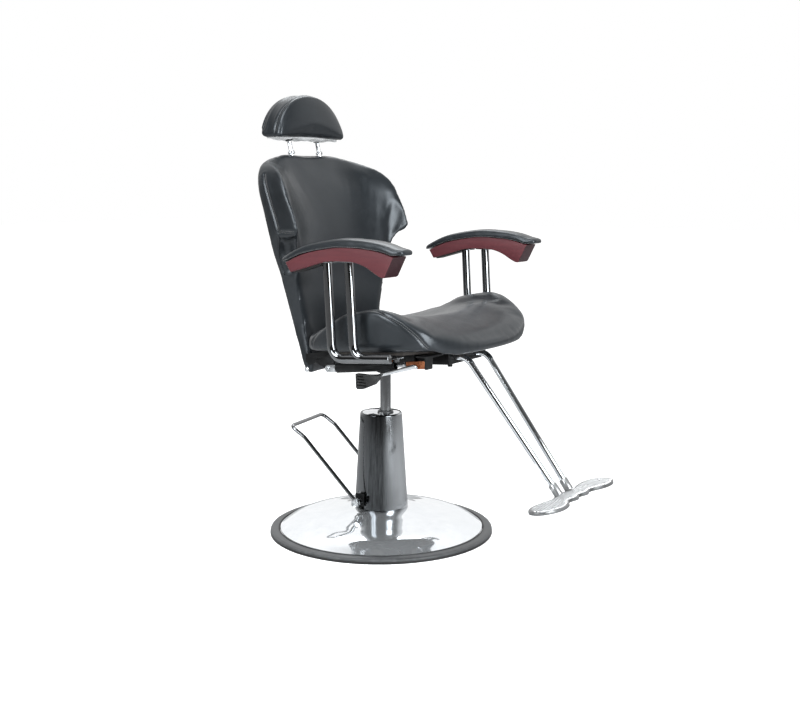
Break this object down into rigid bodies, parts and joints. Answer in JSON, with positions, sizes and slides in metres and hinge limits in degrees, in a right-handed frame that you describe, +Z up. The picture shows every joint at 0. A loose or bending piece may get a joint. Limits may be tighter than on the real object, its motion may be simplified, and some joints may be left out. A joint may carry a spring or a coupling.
{
  "type": "hydraulic barber chair",
  "caption": "Padded hydraulic barber chair with reclining back, sliding headrest, armrests, footrest, foot pedal and round base.",
  "frame": {"origin": "centre of the round base's underside, at floor level", "axes": "+Z up along the lift column, -Y towards the sitter's feet, +X towards the sitter's left hand"},
  "size_m": [0.697, 0.885, 1.133],
  "materials": {
    "chrome": "mirror-polished chrome plate",
    "brushed_chrome": "fine vertical brushing under a thin polish",
    "black_steel": "black semi-gloss paint",
    "steel": "machined steel",
    "zinc": "bright zinc plate",
    "copper": "copper-brown lacquered casting",
    "cast_aluminium": "polished casting with a cross-cut tread",
    "rubber": "matt dark grey rubber",
    "black_plastic": "moulded black plastic",
    "black_leather": "glossy black upholstery leather, double stitched",
    "mahogany": "satin red-brown moulded arm",
    "plywood": "plywood board stained dark"
  },
  "bodies": {
    "base": {"base_plate": "steel", "base_cover": "chrome", "base_ring": "rubber", "pump_body": "black_steel", "pump_gland": "steel", "pump_sleeve": "brushed_chrome", "sleeve_cap": "chrome", "ram_wiper": "rubber", "shaft_guard_left": "black_steel", "shaft_guard_right": "black_steel", "shaft_bearing_left": "black_steel", "shaft_bearing_right": "black_steel", "plunger_guide": "black_steel"},
    "pedal": {"pedal_shaft": "steel", "pedal_loop": "chrome", "pedal_cam": "steel", "pedal_nut_left": "zinc", "pedal_nut_right": "zinc"},
    "plunger": {"pump_plunger": "steel"},
    "ram": {"lift_ram": "chrome"},
    "gas_barrel": {"gas_cylinder": "black_steel", "gas_clevis": "zinc"},
    "release": {"release_lever": "chrome", "lever_paddle": "black_plastic"},
    "backrest": {"back_frame": "black_steel", "back_cushion": "black_leather", "back_cover": "black_leather", "cover_screw_left": "zinc", "cover_screw_right": "zinc", "gas_pin": "zinc", "hinge_pin_left": "zinc", "hinge_pin_right": "zinc", "headrest_bush_left": "zinc", "headrest_bush_right": "zinc"},
    "headrest": {"headrest_post_left": "chrome", "headrest_post_right": "chrome", "headrest_grommet_left": "black_plastic", "headrest_grommet_right": "black_plastic", "headrest_pad": "black_leather"},
    "seat": {"arm_frame_left": "chrome", "arm_frame_right": "chrome", "arm_pad_left": "black_leather", "arm_pad_right": "black_leather", "arm_rail_left": "mahogany", "arm_rail_right": "mahogany", "footplate": "cast_aluminium", "footrest_clamp": "black_steel", "footrest_tube_left": "chrome", "footrest_tube_right": "chrome", "front_bracket": "black_steel", "gas_rod": "chrome", "hinge_bracket_left": "black_steel", "hinge_bracket_right": "black_steel", "mount_channel": "black_steel", "release_head": "copper", "seat_board": "plywood", "seat_cushion": "black_leather", "seat_plate": "black_steel", "swivel_hub": "black_steel"}
  },
  "joints": [
    {"name": "lift", "type": "slide", "parent": "base", "child": "ram", "axis": [0, 0, 1], "range_m": [-0.06, 0.07]},
    {"name": "swivel", "type": "hinge", "parent": "ram", "child": "seat", "pos_m": [0, -0.014, 0.44], "axis": [0, 0, 1], "continuous": true},
    {"name": "recline", "type": "hinge", "parent": "seat", "child": "backrest", "pos_m": [0, -0.012, 0.498], "axis": [-1, 0, 0], "range_deg": [0, 33]},
    {"name": "headrest_height", "type": "slide", "parent": "backrest", "child": "headrest", "axis": [0, 0.2419, 0.9703], "range_m": [-0.012, 0.075]},
    {"name": "lock_swing", "type": "hinge", "parent": "backrest", "child": "gas_barrel", "pos_m": [-0.22, -0.00121, 0.46157], "axis": [1, 0, 0], "range_deg": [0, 33]},
    {"name": "pedal_pump", "type": "hinge", "parent": "base", "child": "pedal", "pos_m": [-0.00521, 0.02954, 0.092], "axis": [-0.9848, -0.1736, 0], "range_deg": [0, 26]},
    {"name": "plunger_stroke", "type": "slide", "parent": "base", "child": "plunger", "axis": [0, 0, -1], "range_m": [0, 0.0082]},
    {"name": "release_pull", "type": "hinge", "parent": "seat", "child": "release", "pos_m": [-0.234, -0.256, 0.489], "axis": [1, 0, 0], "range_deg": [0, 6]}
  ],
  "couplings": [
    {"joint": "lock_swing", "follows": "recline", "ratio": 1},
    {"joint": "plunger_stroke", "follows": "pedal_pump", "m_per_rad": 0.018}
  ]
}
